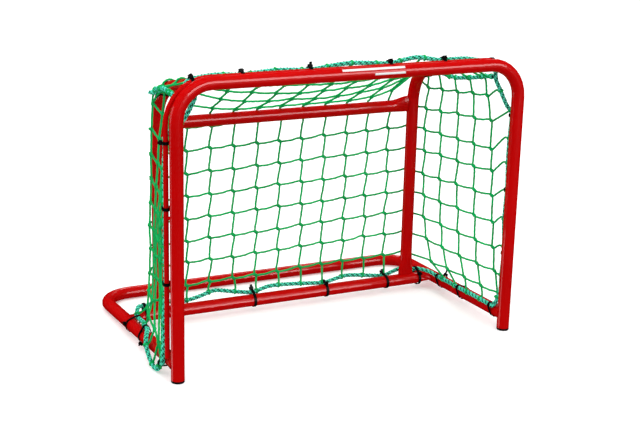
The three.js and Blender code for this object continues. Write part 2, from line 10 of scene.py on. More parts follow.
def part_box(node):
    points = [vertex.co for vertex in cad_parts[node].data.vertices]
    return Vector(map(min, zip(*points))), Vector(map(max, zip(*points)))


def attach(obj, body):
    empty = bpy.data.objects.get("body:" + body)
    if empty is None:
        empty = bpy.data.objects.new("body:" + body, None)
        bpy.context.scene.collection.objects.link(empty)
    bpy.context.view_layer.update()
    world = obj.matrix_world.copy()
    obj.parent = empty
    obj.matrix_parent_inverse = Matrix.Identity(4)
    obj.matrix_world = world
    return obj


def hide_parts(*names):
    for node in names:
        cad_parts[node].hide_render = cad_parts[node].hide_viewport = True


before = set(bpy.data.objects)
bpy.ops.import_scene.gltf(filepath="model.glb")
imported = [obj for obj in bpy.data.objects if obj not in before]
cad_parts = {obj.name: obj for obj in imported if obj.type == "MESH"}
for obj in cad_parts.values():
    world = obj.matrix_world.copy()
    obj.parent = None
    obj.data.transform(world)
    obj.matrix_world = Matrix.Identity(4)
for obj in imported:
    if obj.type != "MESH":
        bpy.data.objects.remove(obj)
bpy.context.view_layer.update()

MM = 0.001

# Sizes of the goal in millimetres: X from its middle, Y from the axis of the front posts, Z from the ground.
TUBE_R = 13.45
CROSSBAR_Z = 586.55
REAR_BAR_Z = 443.0
UPRIGHT_X, UPRIGHT_Y = 305.0, 314.0
BEND_R = 90.0  # of the bend between an upright and its sloping leg
BEND_Y, BEND_Z = UPRIGHT_Y - BEND_R, 447.0
LEG_FRONT = (260, 10, 585)
LEG_REAR = (UPRIGHT_X, UPRIGHT_Y, 519)
ROPE_R = 5.0
TWINE_R = 2.25

_low, _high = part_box("front_frame")
FRONT_Y = (_low.y + _high.y) / 2


def at(x, y, z):
    """A point of the goal's own millimetres in the frame's metres."""
    return np.array([x * MM, FRONT_Y + y * MM, z * MM])


# ------------------------------------------------------------------ camera
CAMERA_AT = at(-1184.1, -2269.8, 1052.0)
YAW, PITCH, ROLL = (math.radians(a) for a in (26.023, 16.327, 1.429))
SENSOR_WIDTH = 36
LENS = 74.83
VIEW_DISTANCE = 50


def make_camera():
    forward = Vector((math.sin(YAW) * math.cos(PITCH), math.cos(YAW) * math.cos(PITCH), -math.sin(PITCH)))
    right = Vector((math.cos(YAW), -math.sin(YAW), 0))
    up = right.cross(forward)
    across = right * math.cos(ROLL) + up * math.sin(ROLL)
    above = up * math.cos(ROLL) - right * math.sin(ROLL)
    data = bpy.data.cameras.new("camera")
    data.sensor_width = SENSOR_WIDTH
    data.lens = LENS
    data.clip_end = VIEW_DISTANCE
    camera = bpy.data.objects.new("camera", data)
    placed = Matrix((across, above, -forward)).transposed().to_4x4()
    placed.translation = Vector(CAMERA_AT)
    camera.matrix_world = placed
    bpy.context.scene.collection.objects.link(camera)
    bpy.context.scene.camera = camera


make_camera()


# ------------------------------------------------------------------ paths and meshes
def unit(v):
    return v / max(np.linalg.norm(v), 1e-12)


def smooth_path(points, step):
    """A centripetal Catmull-Rom curve through the points, cut into steps of about `step`."""
    p = np.array(points, float)
    p = np.vstack([2 * p[0] - p[1], p, 2 * p[-1] - p[-2]])
    out = []
    for a, b, c, d in zip(p, p[1:], p[2:], p[3:]):
        t1 = max(np.linalg.norm(b - a), 1e-9) ** 0.5
        t2 = t1 + max(np.linalg.norm(c - b), 1e-9) ** 0.5
        t3 = t2 + max(np.linalg.norm(d - c), 1e-9) ** 0.5
        count = max(1, int(round(np.linalg.norm(c - b) / step)))
        t = np.linspace(t1, t2, count, endpoint=False)[:, None]
        # Lines through pairs of points, parabolas blended from the lines, and the curve blended from those.
        ab = (t1 - t) / t1 * a + t / t1 * b
        bc = (t2 - t) / (t2 - t1) * b + (t - t1) / (t2 - t1) * c
        cd = (t3 - t) / (t3 - t2) * c + (t - t2) / (t3 - t2) * d
        ac = (t2 - t) / t2 * ab + t / t2 * bc
        bd = (t3 - t) / (t3 - t1) * bc + (t - t1) / (t3 - t1) * cd
        out.append((t2 - t) / (t2 - t1) * ac + (t - t1) / (t2 - t1) * bd)
    return np.vstack([*out, p[-2]])


def frames(path):
    """Tangents and two cross directions along a path, carried along without twist."""
    tangent = np.gradient(path, axis=0)
    tangent /= np.linalg.norm(tangent, axis=1)[:, None]
    # Any direction does to start from, as long as it isn't the path's own.
    start = [1, 0, 0] if abs(tangent[0][2]) >= 0.9 else [0.31, 0.17, 0.93]
    side = unit(np.cross(tangent[0], start))
    sides = np.empty_like(path)
    for i, t in enumerate(tangent):
        side = unit(side - t * (side @ t))
        sides[i] = side
    return tangent, sides, np.cross(tangent, sides)


def lengths(path):
    """Length of the path up to each of its points."""
    return np.concatenate([[0], np.cumsum(np.linalg.norm(np.diff(path, axis=0), axis=1))])


def around(sides):
    return np.linspace(0, 2 * math.pi, sides, endpoint=False)


class Soup:
    """Vertices and faces of one mesh, gathered piece by piece."""

    def __init__(self):
        self.vertices, self.faces, self.slots, self.count = [], [], [], 0

    def rings(self, rings, slot=0):
        """Skins a stack of closed rings, an array of shape (rings, sides, 3), and closes its two ends."""
        n, sides, _ = rings.shape
        base = self.count
        self.vertices.append(rings.reshape(-1, 3))
        self.count += n * sides
        i = np.arange(n - 1)[:, None] * sides + base
        j = np.arange(sides)[None, :]
        k = (j + 1) % sides
        quads = np.stack([i + j, i + k, i + sides + k, i + sides + j], axis=-1).reshape(-1, 4)
        self.faces.extend(quads.tolist())
        self.faces.append([base + s for s in range(sides - 1, -1, -1)])
        self.faces.append([base + (n - 1) * sides + s for s in range(sides)])
        self.slots.extend([slot] * (len(quads) + 2))

    def tube(self, path, radius, sides, slot=0, plies=0, depth=0.0, pitch=1.0, phase=0.0):
        """A round bar along a path, with plies `depth` of the radius deep that turn once in `pitch`."""
        path = np.asarray(path, float)
        _, a, b = frames(path)
        s = lengths(path)[:, None]
        angle = around(sides)[None, :]
        r = np.broadcast_to(np.asarray(radius, float).reshape(-1, 1), (len(path), 1))
        r = r * (1 + depth * np.cos(plies * (angle - 2 * math.pi * s / pitch) + phase))
        out = a[:, None, :] * (r * np.cos(angle))[..., None]
        over = b[:, None, :] * (r * np.sin(angle))[..., None]
        self.rings(path[:, None, :] + out + over, slot)

    def build(self, name, materials):
        mesh = bpy.data.meshes.new(name)
        mesh.from_pydata(np.vstack(self.vertices).tolist(), [], self.faces)
        for material in materials:
            mesh.materials.append(material)
        mesh.polygons.foreach_set("material_index", self.slots)
        mesh.polygons.foreach_set("use_smooth", [True] * len(mesh.polygons))
        mesh.update()
        piece = bpy.data.objects.new(name, mesh)
        bpy.context.scene.collection.objects.link(piece)
        return piece


# ------------------------------------------------------------------ materials
def grey(v):
    return (v, v, v)


class Surface:
    """A material of nodes round one Principled shader, in the piece's own coordinates."""

    def __init__(self, name):
        self.material = bpy.data.materials.new(name)
        self.material.use_nodes = True
        self.nodes, self.links = self.material.node_tree.nodes, self.material.node_tree.links
        self.shader = self.nodes["Principled BSDF"]
        self.space = self.nodes.new("ShaderNodeTexCoord").outputs["Object"]

    def noise(self, scale, detail):
        node = self.nodes.new("ShaderNodeTexNoise")
        node.inputs["Scale"].default_value = scale
        node.inputs["Detail"].default_value = detail
        self.links.new(self.space, node.inputs["Vector"])
        return node.outputs["Fac"]

    def scaled(self, source, factor, plus=None):
        """The source times a factor, plus another source."""
        node = self.nodes.new("ShaderNodeMath")
        node.operation = "MULTIPLY_ADD" if plus else "MULTIPLY"
        self.links.new(source, node.inputs[0])
        node.inputs[1].default_value = factor
        if plus:
            self.links.new(plus, node.inputs[2])
        return node.outputs[0]

    def drive(self, target, source, first, last, start=0.3, end=0.7):
        """Runs a shader input from one colour or grey at the source's `start` to another at its `end`."""
        node = self.nodes.new("ShaderNodeValToRGB")
        for element, position, colour in zip(node.color_ramp.elements, (start, end), (first, last)):
            element.position = position
            element.color = (*colour, 1)
        self.links.new(source, node.inputs["Fac"])
        self.links.new(node.outputs["Color"], self.shader.inputs[target])

    def bump(self, height, strength, distance):
        node = self.nodes.new("ShaderNodeBump")
        node.inputs["Strength"].default_value = strength
        node.inputs["Distance"].default_value = distance
        self.links.new(height, node.inputs["Height"])
        self.links.new(node.outputs["Normal"], self.shader.inputs["Normal"])

    def set(self, target, value):
        self.shader.inputs[target].default_value = value


def powder_coat(name):
    """Glossy red powder coat: a fine orange peel under a clear gloss, and faint drifts in depth of colour."""
    paint = Surface(name)
    drift = paint.noise(scale=9, detail=3)
    paint.drive("Base Color", drift, (0.52, 0.0001, 0.0002), (0.60, 0.0002, 0.0003))
    specks = paint.noise(scale=260, detail=4)
    paint.drive("Roughness", specks, grey(0.18), grey(0.26), start=0.35, end=0.75)
    paint.bump(paint.noise(scale=900, detail=2), strength=0.04, distance=0.0003)
    paint.set("Specular IOR Level", 0.08)
    paint.set("Coat Weight", 0.22)
    paint.set("Coat Roughness", 0.06)
    return paint.material


def black_plastic(name, smoothest, roughest, scale):
    """Black moulded plastic with a fine grain, nearly matt."""
    plastic = Surface(name)
    grain = plastic.noise(scale, detail=4)
    plastic.drive("Base Color", grain, (0.001, 0.001, 0.0012), (0.004, 0.004, 0.0045), end=0.75)
    plastic.drive("Roughness", grain, grey(smoothest), grey(roughest))
    plastic.bump(grain, strength=0.25, distance=0.0003)
    plastic.set("Specular IOR Level", 0.05)
    return plastic.material


def fibre(name, dark, light, scale):
    """Drawn plastic yarn: fine streaks and slow drifts in depth of colour, nearly matt."""
    yarn = Surface(name)
    streaks = yarn.noise(scale, detail=4)
    blotches = yarn.noise(scale / 40, detail=2)
    mixed = yarn.scaled(blotches, 0.5, plus=yarn.scaled(streaks, 0.5))
    yarn.drive("Base Color", mixed, dark, light, start=0.35, end=0.65)
    yarn.drive("Roughness", streaks, grey(0.6), grey(0.8))
    yarn.bump(streaks, strength=0.5, distance=0.0004)
    yarn.set("Specular IOR Level", 0.08)
    return yarn.material


def white_paint(name):
    """Thin white print, a little worn."""
    paint = Surface(name)
    worn = paint.noise(scale=420, detail=4)
    paint.drive("Base Color", worn, (0.62, 0.60, 0.60), grey(0.86), start=0.25, end=0.45)
    paint.drive("Roughness", worn, grey(0.3), grey(0.45))
    paint.bump(worn, strength=0.1, distance=0.0002)
    return paint.material


RED = powder_coat("red_powder_coat")
CAP = black_plastic("black_cap_plastic", smoothest=0.5, roughest=0.75, scale=500)
TIE = black_plastic("black_nylon", smoothest=0.45, roughest=0.6, scale=900)
TWINE = fibre("green_twine", (0.0001, 0.33, 0.06), (0.0004, 0.56, 0.14), scale=1600)
ROPE_LIGHT = fibre("rope_light_green", (0.05, 0.70, 0.45), (0.13, 0.96, 0.68), scale=1300)
ROPE_DARK = fibre("rope_dark_tracer", (0.001, 0.08, 0.04), (0.003, 0.16, 0.085), scale=1300)
# The rope's core is painted near black as painted shade, so the gaps between the strands look shaded.
ROPE_CORE_PAINTED_SHADE = fibre("rope_core_painted_shade", (0.0003, 0.03, 0.012), (0.001, 0.06, 0.03), scale=1300)
WHITE = white_paint("white_print")

# ------------------------------------------------------------------ carried CAD nodes
STEEL_NODES = (
    "front_frame", "base_frame", "left_rear_upright", "right_rear_upright", "rear_top_bar", "lower_bar",
    "lacing_bar",
)


def wear(node, material):
    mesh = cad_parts[node].data
    mesh.materials.clear()
    mesh.materials.append(material)


for _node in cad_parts:
    if _node in STEEL_NODES:
        wear(_node, RED)
    elif _node.endswith("_cap"):
        wear(_node, CAP)
    elif _node.startswith("tie_"):
        wear(_node, TIE)


# ------------------------------------------------------------------ ropes, sizes in metres
ROPE_SIDES = 8  # of the CAD rope
STRANDS = 4  # each way round
STRAND_SIDES = 6
STRAND_THICK, STRAND_WIDE = 0.00095, 0.0013  # half of a flat strand's section
BRAID_PITCH = 0.027
BRAID_STEP = 0.0018
BRAID_R, WEAVE = 0.0037, 0.00045  # a strand's middle from the rope's, and how far it goes in and out
CORE_R, CORE_SIDES = 0.0036, 8

# A point near the first end of each rope.
ROPE_STARTS = {
    "border_rope": at(-393.2, 45.7, 26),
    "border_rope_free_loop": at(-376.9, 187, 45.4),
    "left_seam_rope": at(-334, 42.5, 543),
    "right_seam_rope": at(338.5, 42.5, 553),
}


def centreline(node, start):
    """The middles of the rings of a plain swept tube, from the end nearest `start`."""
    bm = bmesh.new()
    bm.from_mesh(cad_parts[node].data)
    bmesh.ops.remove_doubles(bm, verts=bm.verts, dist=2e-6)
    start = Vector(start)
    ring = sorted(bm.verts, key=lambda v: (v.co - start).length)[:ROPE_SIDES]
    seen, path = set(ring), []
    while ring:
        path.append(np.mean([v.co[:] for v in ring], axis=0))
        following = {e.other_vert(v) for v in ring for e in v.link_edges} - seen
        seen |= following
        ring = list(following)
    bm.free()
    return np.array(path)


def braided(name, stations):
    """A round braid of eight flat strands, four each way, that pass over and under each other."""
    path = smooth_path(stations, BRAID_STEP)
    _, a, b = frames(path)
    s = lengths(path)
    soup = Soup()
    # The core wears the third material, which is painted shade that shows in the gaps between the strands.
    soup.tube(path[::2], CORE_R, CORE_SIDES, slot=2)
    angle = around(STRAND_SIDES)
    for way in (1, -1):
        for k in range(STRANDS):
            turn = way * 2 * math.pi * s / BRAID_PITCH + k * 2 * math.pi / STRANDS
            other_way = 0 if way > 0 else math.pi
            weave = np.cos(STRANDS * 2 * math.pi * s / BRAID_PITCH + other_way + k * math.pi)
            r = BRAID_R + WEAVE * weave
            out = a * np.cos(turn)[:, None] + b * np.sin(turn)[:, None]
            line = path + out * r[:, None]
            tangent, _, _ = frames(line)
            flat = np.cross(tangent, out)
            flat /= np.linalg.norm(flat, axis=1)[:, None]
            thick = out[:, None, :] * (STRAND_THICK * np.cos(angle))[None, :, None]
            wide = flat[:, None, :] * (STRAND_WIDE * np.sin(angle))[None, :, None]
            tracer = way > 0 and k % 2 == 0
            soup.rings(line[:, None, :] + thick + wide, slot=1 if tracer else 0)
    return soup.build(name, [ROPE_LIGHT, ROPE_DARK, ROPE_CORE_PAINTED_SHADE]), path


ROPES = {}
for _name, _start in ROPE_STARTS.items():
    _piece, _path = braided(_name + "_braid", centreline(_name, _start))
    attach(_piece, "root")
    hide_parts(_name)
    ROPES[_name] = _path

# ------------------------------------------------------------------ where the net's knots are
rng = random.Random(7)


def jitter(amount):
    return np.array([rng.uniform(-amount, amount) for _ in range(3)])


def between(y, front, rear):
    """Where a line from `front` to `rear`, both (y, value), is at the depth y."""
    return front[1] + (y - front[0]) * (rear[1] - front[1]) / (rear[0] - front[0])


# Over the uprights' legs
BEND_FROM_Y = 244  # the leg is straight in front of this
BEND_TOP_FROM_Y = 250
LEAN_FROM, LEAN_IN = 0.6, 12  # past this angle, in radians, the bend leans in by 12 mm for each radian
LEG_TOP_RISE, LEG_ARC_RISE = 1.03, 1.02  # a sloping tube is this much thicker, measured upwards


def leg_axis(y):
    """Distance from the goal's middle, and height, of the middle of an upright's leg at the depth y."""
    if y > BEND_FROM_Y:
        t = math.acos(min(1.0, max(0.0, (y - BEND_Y) / BEND_R)))
        return UPRIGHT_X - max(0.0, t - LEAN_FROM) * LEAN_IN, BEND_Z + BEND_R * math.sin(t)
    x = between(y, (LEG_FRONT[1], LEG_FRONT[0]), (LEG_REAR[1], LEG_REAR[0]))
    return x, between(y, LEG_FRONT[1:], LEG_REAR[1:])


def leg_top(y):
    if y > BEND_TOP_FROM_Y:
        outside = BEND_R + TUBE_R
        t = math.acos(min(1.0, max(0.0, (y - BEND_Y) / outside)))
        return BEND_Z + outside * math.sin(t)
    return leg_axis(y)[1] + TUBE_R * LEG_TOP_RISE


# Top net: (y, z) at the lacing bar and at the rear bar, and the depth of each row of knots.
TOP_FRONT, TOP_REAR = (27, 600), (322, 457)
TOP_ROWS = [300, 255, 206, 157, 108, 62]
TOP_SAG, TOP_HALF_WIDTH = 3, 320
HUMP_WIDTH, HUMP_SPREAD = 50, 0.38  # how far the legs lift the net beside them, and how that grows forwards
TOP_LEFT_BY, TOP_CURVE = 7.3, 0.0005  # the columns stand left of the back net's, more so towards the front
TOP_PULL = 20  # drawn to the left on top of the right leg


def top_z(x, y):
    """Height of the top net: straight from the lacing bar to the rear bar in the middle, up over the legs."""
    plane = between(y, TOP_FRONT, TOP_REAR)
    over = max(0.0, leg_top(y) + TWINE_R - plane)
    away = max(0.0, leg_axis(y)[0] - abs(x))
    hump = over * math.exp(-away / (HUMP_WIDTH + HUMP_SPREAD * (TOP_ROWS[0] - y)))
    return plane - TOP_SAG * (1 - (x / TOP_HALF_WIDTH) ** 2) + hump


def top_knot(i, r):
    y = TOP_ROWS[r]
    x = BACK_X[i] - TOP_LEFT_BY - TOP_CURVE * (TOP_ROWS[0] - y) ** 2
    away = max(0.0, leg_axis(y)[0] - x)
    x -= TOP_PULL * math.exp(-away / HUMP_WIDTH)
    return np.array([x, y, top_z(x, y)])


# Back net: columns from the left, rows from the top
BACK_COLUMNS, BACK_ROWS = 12, 8
BACK_LEFT, BACK_STEP = -288.3, 54.3
BACK_X = [BACK_LEFT + BACK_STEP * i for i in range(BACK_COLUMNS)]
BACK_Y, BACK_EDGE_Y = 332.5, 331.0
BACK_TOP_Z, BACK_DROP = 437.5, 50.3
BACK_TILT, BACK_LEVEL_X = 0.024, 255  # the rows rise to the right, and have their stated height here


def back_knot(i, j):
    x = BACK_X[i]
    y = BACK_Y if 0 < i < BACK_COLUMNS - 1 else BACK_EDGE_Y
    return np.array([x, y, BACK_TOP_Z - BACK_DROP * j + BACK_TILT * (x - BACK_LEVEL_X)])


# Sides: columns from the back to the mouth, rows from the top; the left side has one row more
SIDE_COLUMNS, SIDE_ROWS = 5, 9
RIGHT_MOUTH, RIGHT_REAR = (30, 379), (322, 322)  # (y, x) of the right side's plane
# Back and front knot of each row of the right side: depth, height.
RIGHT_BACK = [
    (290, 488), (294, 438), (294, 388), (292, 337), (291, 285), (287, 233), (282, 181), (271, 131), (250, 83),
]
RIGHT_FRONT = [
    (99, 500), (85, 449), (79, 388), (74, 341), (70, 285), (62, 227), (56, 171), (47, 119), (30, 71),
]


def right_knot(k, j):
    (y0, z0), (y1, z1) = RIGHT_BACK[j], RIGHT_FRONT[j]
    y = y0 + (y1 - y0) * k / (SIDE_COLUMNS - 1)
    z = z0 + (z1 - z0) * k / (SIDE_COLUMNS - 1)
    return np.array([between(y, RIGHT_MOUTH, RIGHT_REAR), y, z])


LEFT_X, LEFT_Y, LEFT_Z = 321, 292, 491  # the highest knot at the back
LEFT_FORWARD, LEFT_DROP = 53, 52
LEFT_WIDENING, LEFT_WIDE_ROWS = 1.9, 5
# Rows of the left side: how far each swings out towards the front, and how its height changes.
LEFT_SWING = [(-6, 4.5), (-1, 3), (4, 1.9), (7, 1), (8.5, 1), (10, 0.5), (10, 0.5), (10, 0.5)]
LEFT_RISE = [(-14, 4), (-9, 2.5), (-9, 2.5), (-5, 1), (3, 0), (6, 0), (11, 0), (12, 0)]
# The two lowest rows, which are tied to the border rope and its free loop.
LEFT_LOW = [
    [(-337, 283, 92), (-352, 216, 93), (-360, 174, 109), (-370, 121, 128), (-381, 72, 122)],
    [(-345, 278, 55), (-365, 208, 62), (-385, 114, 72), (-393, 64, 61), (-393, 42, 40)],
]


def left_knot(k, j):
    if j >= len(LEFT_SWING):
        return np.array(LEFT_LOW[j - len(LEFT_SWING)][k], float)
    (a, b), (c, d) = LEFT_SWING[j], LEFT_RISE[j]
    x = -(LEFT_X + LEFT_WIDENING * min(j, LEFT_WIDE_ROWS) + a * k + b * k * k)
    return np.array([x, LEFT_Y - LEFT_FORWARD * k, LEFT_Z - LEFT_DROP * j + c * k + d * k * k])


LEFT = [[left_knot(k, j) for j in range(len(LEFT_SWING) + len(LEFT_LOW))] for k in range(SIDE_COLUMNS)]
RIGHT = [[right_knot(k, j) for j in range(SIDE_ROWS)] for k in range(SIDE_COLUMNS)]
BACK = [[back_knot(i, j) for j in range(BACK_ROWS)] for i in range(BACK_COLUMNS)]
TOP = [[top_knot(i, r) for r in range(len(TOP_ROWS))] for i in range(1, BACK_COLUMNS - 1)]

# How far the knots of each panel stray, which is less in depth.
STRAYS = ((LEFT, 2.2), (RIGHT, 1.8), (BACK, 1.6), (TOP, 1.6))
STRAY_SHARES = (1, 0.6, 1)

for _panel, _stray in STRAYS:
    for _column in _panel:
        for _j, _knot in enumerate(_column):
            _column[_j] = _knot + jitter(_stray) * STRAY_SHARES


# ------------------------------------------------------------------ twines and knots, sizes in millimetres
TWINE_SIDES, KNOT_SIDES = 9, 7
TWINE_STEP, HITCH_STEP = 0.0028, 0.0026  # metres
PLIES, PLY_DEPTH, KNOT_PLY_DEPTH, PLY_PITCH = 3, 0.13, 0.1, 0.011
ANY_PHASE = 6.28
SLANT = (2.5, -1.8)  # how far a knot's axis goes across and up
TAIL = 0.4  # of the slant: how far a twine goes into its knot
LEAVE, PULL = 0.13, 0.2  # share of the chord, and of the slant, where a twine has left its knot
FIRMNESS = (0.85, 1.15)
MIDDLE_STRAY = 0.5
KNOT_STATIONS, KNOT_TURNS, KNOT_TWIST = 26, 2.1, 0.4
KNOT_HALF, KNOT_R, KNOT_TAPER, KNOT_FLAT = 3.3, 2.15, 0.35, 0.95
CORE_END, CORE_MIDDLE, CORE_SHIFT = 4.2, 1.5, 0.4
HITCH_R = ROPE_R - 0.6  # a turn lies partly in the rope
HITCH_START, HITCH_END, HITCH_STATIONS = 0.55, 2 * math.pi * 1.08, 20
HITCH_ADVANCE, HITCH_SPAN = 2.6, 6  # along the rope, for so many radians of turn
HITCH_PULL = 0.006  # metres
ROPE_MARGIN = 4  # stations at each end of a rope that take no hitch


class Netting:
    """Twines and knots of one panel. `across` and `up` are the panel's own directions."""

    def __init__(self, name):
        self.name, self.soup = name, Soup()

    def lean(self, across, up):
        return unit(np.asarray(across, float)) * SLANT[0] + unit(np.asarray(up, float)) * SLANT[1]

    def lay(self, path):
        """Laid twine of three plies along a path in metres."""
        self.soup.tube(
            path, TWINE_R * MM, TWINE_SIDES, plies=PLIES, depth=PLY_DEPTH, pitch=PLY_PITCH,
            phase=rng.uniform(0, ANY_PHASE),
        )

    def twine(self, points):
        self.lay(smooth_path([at(*p) for p in points], TWINE_STEP))

    def strand(self, a, b, lean_a, lean_b, via=(), sag=0.0):
        """A twine from one knot to the next. It leaves and meets the knots along their slant."""
        start, end = a + lean_a, b - lean_b
        if via:
            points = [start, *via, end]
        else:
            chord = end - start
            firm = rng.uniform(*FIRMNESS)
            left = start + chord * LEAVE + lean_a * PULL * firm
            met = end - chord * LEAVE - lean_b * PULL * firm
            middle = (left + met) / 2 + np.array([0, 0, -sag]) + jitter(MIDDLE_STRAY)
            points = [start, left, middle, met, end]
        self.twine([a + lean_a * TAIL, *points, b - lean_b * TAIL])

    def knot(self, p, lean, across, up):
        """A netting knot: a coil of two turns round a short core, both along the slant."""
        axis = unit(lean)
        out = unit(np.cross(across, up))
        side = np.cross(axis, out)
        t = np.linspace(-1, 1, KNOT_STATIONS)
        wind = t * math.pi * KNOT_TURNS + rng.uniform(-KNOT_TWIST, KNOT_TWIST)
        radius = KNOT_R - KNOT_TAPER * t**2
        coil = (
            p[None, :]
            + axis[None, :] * (t * KNOT_HALF)[:, None]
            + out[None, :] * (np.cos(wind) * radius)[:, None]
            + side[None, :] * (np.sin(wind) * radius * KNOT_FLAT)[:, None]
        )
        self.soup.tube(
            [at(*q) for q in coil], TWINE_R * MM * KNOT_FLAT, KNOT_SIDES, plies=PLIES, depth=KNOT_PLY_DEPTH,
            pitch=PLY_PITCH,
        )
        middle, shift = axis * CORE_MIDDLE, out * CORE_SHIFT
        self.twine([p - axis * CORE_END, p - middle + shift, p + middle - shift, p + axis * CORE_END])

    def hitch(self, rope, target, start, via=(), depth=None):
        """A twine from `start` to the rope near `target`, or at a depth, with a turn round the rope."""
        path = ROPES[rope]
        i = int(np.argmin(np.linalg.norm(path - at(*target), axis=1)))
        if depth is not None:
            i = int(np.argmin(np.abs(path[:, 1] - at(0, depth, 0)[1])))
        i = min(max(i, ROPE_MARGIN), len(path) - 1 - ROPE_MARGIN)
        centre = path[i]
        along = unit(path[i + 2] - path[i - 2])
        origin = at(*start)
        away = origin - centre
        away = unit(away - along * (away @ along))
        other = np.cross(along, away)
        r = HITCH_R * MM
        spin = rng.choice((-1, 1))
        coil = [
            centre + away * r * math.cos(w) + other * spin * r * math.sin(w)
            + along * MM * HITCH_ADVANCE * (w / HITCH_SPAN - 0.5)
            for w in np.linspace(HITCH_START, HITCH_END, HITCH_STATIONS)
        ]
        pull = coil[0] + away * HITCH_PULL
        self.lay(smooth_path([origin, *(at(*v) for v in via), pull, *coil[::3], coil[-1]], HITCH_STEP))

    def finish(self, node):
        piece = self.soup.build(self.name, [TWINE])
        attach(piece, "root")
        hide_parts(node)


# ------------------------------------------------------------------ net
# Directions as seen from the mouth, to the right and up.
X, _, Z = np.eye(3)
RIGHT_ACROSS = unit(np.array([RIGHT_MOUTH[1] - RIGHT_REAR[1], RIGHT_MOUTH[0] - RIGHT_REAR[0], 0]))
LEFT_ACROSS = unit(np.array([63.0, 292.0, 0]))
TOP_UP = unit(np.array([0, TOP_FRONT[0] - TOP_REAR[0], TOP_FRONT[1] - TOP_REAR[1]]))

back = Netting("netting_back")
top = Netting("netting_top")
right = Netting("netting_right_side")
left = Netting("netting_left_side")
BACK_LEAN = back.lean(X, Z)
TOP_LEAN = top.lean(X, TOP_UP)
RIGHT_LEAN = right.lean(RIGHT_ACROSS, Z)
LEFT_LEAN = left.lean(LEFT_ACROSS, Z)

BACK_SAG, TOP_NET_SAG, SIDE_SAG = 1.2, 0.8, 1.0
# Where the border rope is: depth and height under the back net and in front of the top net, and distance from
# the goal's middle and depth in front of the sides.
BACK_ROPE = (330, 38)
TOP_ROPE, TOP_ROPE_LEFT = (30, 603), 1
FRONT_ROPE = (381, 32)
REAR_ARC, REAR_ARC_POINTS, REAR_ARC_GAP = (4, 84), 6, 0.3  # degrees from the top towards the back
LEG_ARC = {-1: (-35, 0, 35, 62), 1: (-35, 0, 30)}  # degrees from the top outwards, for each side
SEAM_OUT, SEAM_DOWN = 14, 8
SEAM_DEPTHS = {1: (288, 230, 197, 150, 92), -1: (252, 168, 118, 84, 58)}
FRONT_RISE = [38, 34, 34, 27, 21, 17, 9, -4, -12]  # from the front knot of a row up to the border rope
# Where the columns of the sides meet the border rope, from their lowest knots.
RIGHT_FOOT_FORWARD, RIGHT_FOOT_Z = 8, 46
LEFT_FOOT_OUT, LEFT_FOOT_Z = 4, 45
LOOP_DEPTHS = {2: 118, 3: 84, 4: 54}  # where the last columns of the left side meet the free loop
WRAP_ARC, WRAP_SHARE, WRAP_GAP = (74, 52, 30, 8), 5.5, 0.4  # degrees from the outside towards the back
# Over the bend of an upright: degrees from the top outwards, and height.
BEND_ARC = ((-30, 513), (15, 516), (55, 508), (88, 498))
BEND_ARC_X, BEND_ARC_Y, BEND_ARC_BULGE = 303, 300, 4
WRAP_R = TUBE_R + TWINE_R + WRAP_GAP


def back_panel():
    for i, column in enumerate(BACK):
        for j, p in enumerate(column):
            back.knot(p, BACK_LEAN, X, Z)
            if j + 1 < len(column):
                back.strand(p, column[j + 1], BACK_LEAN, BACK_LEAN)
            if i + 1 < len(BACK):
                back.strand(p, BACK[i + 1][j], BACK_LEAN, BACK_LEAN, sag=BACK_SAG)
        foot = column[-1]
        back.hitch("border_rope", (foot[0], *BACK_ROPE), foot + BACK_LEAN)


def over_rear_bar():
    """The columns' twines from the top net over the rear bar to the back net."""
    radius = TUBE_R + TWINE_R + REAR_ARC_GAP
    angles = np.linspace(*np.radians(REAR_ARC), REAR_ARC_POINTS)
    for column_top, column_back in zip(TOP, BACK[1:]):
        a, b = column_top[0], column_back[0]
        arc = [
            np.array([x, UPRIGHT_Y + radius * math.sin(w), REAR_BAR_Z + radius * math.cos(w)])
            for x, w in zip(np.linspace(a[0], b[0], REAR_ARC_POINTS + 2)[1:-1], angles)
        ]
        back.strand(b, a, -BACK_LEAN, -TOP_LEAN, via=arc[::-1])


def top_panel():
    for i, column in enumerate(TOP):
        for r, p in enumerate(column):
            top.knot(p, TOP_LEAN, X, TOP_UP)
            if r + 1 < len(column):
                top.strand(column[r + 1], p, TOP_LEAN, TOP_LEAN)
            if i + 1 < len(TOP):
                top.strand(p, TOP[i + 1][r], TOP_LEAN, TOP_LEAN, sag=TOP_NET_SAG)
        front = column[-1]
        top.hitch("border_rope", (front[0] - TOP_ROPE_LEFT, *TOP_ROPE), front - TOP_LEAN)


def over_leg(side, line, rope):
    """The top net's rows, but for the one at the back, over a sloping leg to the seam rope."""
    for y, p in zip(TOP_ROWS[1:], line[1:]):
        leg_x, leg_z = leg_axis(y)
        arc = [
            np.array([
                side * (leg_x + (TUBE_R + TWINE_R) * math.sin(w)),
                y,
                leg_z + (TUBE_R * LEG_ARC_RISE + TWINE_R) * math.cos(w),
            ])
            for w in np.radians(LEG_ARC[side])
        ]
        target = arc[-1] + np.array([side * SEAM_OUT, 0, -SEAM_DOWN])
        top.hitch(rope, target, p + TOP_LEAN * side, via=arc, depth=y)


def side_panel(net, panel, lean, across, side, seam):
    """One side, with its hitches to the seam rope above it and to the border rope in front of it."""
    for k, column in enumerate(panel):
        for j, p in enumerate(column):
            net.knot(p, lean, across, Z)
            if j + 1 < len(column):
                net.strand(p, column[j + 1], lean, lean)
            if k + 1 < len(panel):
                a, b = (p, panel[k + 1][j])[::side]
                net.strand(a, b, lean, lean, sag=SIDE_SAG)
            elif j < SIDE_ROWS:
                x, y = FRONT_ROPE
                net.hitch("border_rope", (side * x, y, p[2] + FRONT_RISE[j]), p + lean * side)
        net.hitch(seam, column[0], column[0] - lean, depth=SEAM_DEPTHS[side][k])


